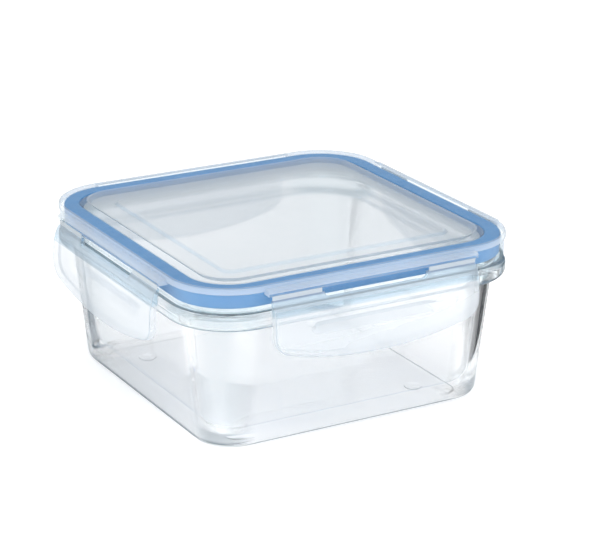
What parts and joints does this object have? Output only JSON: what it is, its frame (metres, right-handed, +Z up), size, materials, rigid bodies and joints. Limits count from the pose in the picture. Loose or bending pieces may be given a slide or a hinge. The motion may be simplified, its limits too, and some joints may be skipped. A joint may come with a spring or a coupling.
{
  "type": "glass food container with snap lid",
  "caption": "Square glass food container with a clear snap lid, a coloured seal in its rim and hinged side latches that lock under the glass flange.",
  "frame": {"origin": "middle of the base, on the plane of the feet", "axes": "+Z up through the lid, +X and +Y square to the sides; the four sides are alike"},
  "size_m": [0.1662, 0.1662, 0.0724],
  "materials": {
    "dish_glass": "clear pressed glass, slightly blue-green where it is thick",
    "lid_plastic": "natural translucent polypropylene, smooth with a soft gloss",
    "seal_silicone": "satin silicone",
    "latch_plastic": "natural translucent polypropylene, the same moulding as the lid"
  },
  "bodies": {
    "dish": {"glass_dish": "dish_glass"},
    "lid": {"lid_cover": "lid_plastic", "seal_ring": "seal_silicone", "film_hinge_front_a": "latch_plastic", "film_hinge_front_b": "latch_plastic", "film_hinge_right_a": "latch_plastic", "film_hinge_right_b": "latch_plastic", "film_hinge_back_a": "latch_plastic", "film_hinge_back_b": "latch_plastic", "film_hinge_left_a": "latch_plastic", "film_hinge_left_b": "latch_plastic"},
    "latch_front": {"latch_front": "latch_plastic"},
    "latch_right": {"latch_right": "latch_plastic"},
    "latch_back": {"latch_back": "latch_plastic"},
    "latch_left": {"latch_left": "latch_plastic"}
  },
  "joints": [
    {"name": "lid_lift", "type": "slide", "parent": "dish", "child": "lid", "axis": [0, 0, 1], "range_m": [0, 0.06]},
    {"name": "latch_front_hinge", "type": "hinge", "parent": "lid", "child": "latch_front", "pos_m": [0, -0.0793, 0.0677], "axis": [-1, 0, 0], "range_deg": [0, 120]},
    {"name": "latch_right_hinge", "type": "hinge", "parent": "lid", "child": "latch_right", "pos_m": [0.0793, 0, 0.0677], "axis": [0, -1, 0], "range_deg": [0, 120]},
    {"name": "latch_back_hinge", "type": "hinge", "parent": "lid", "child": "latch_back", "pos_m": [0, 0.0793, 0.0677], "axis": [1, 0, 0], "range_deg": [0, 120]},
    {"name": "latch_left_hinge", "type": "hinge", "parent": "lid", "child": "latch_left", "pos_m": [-0.0793, 0, 0.0677], "axis": [0, 1, 0], "range_deg": [0, 120]}
  ]
}
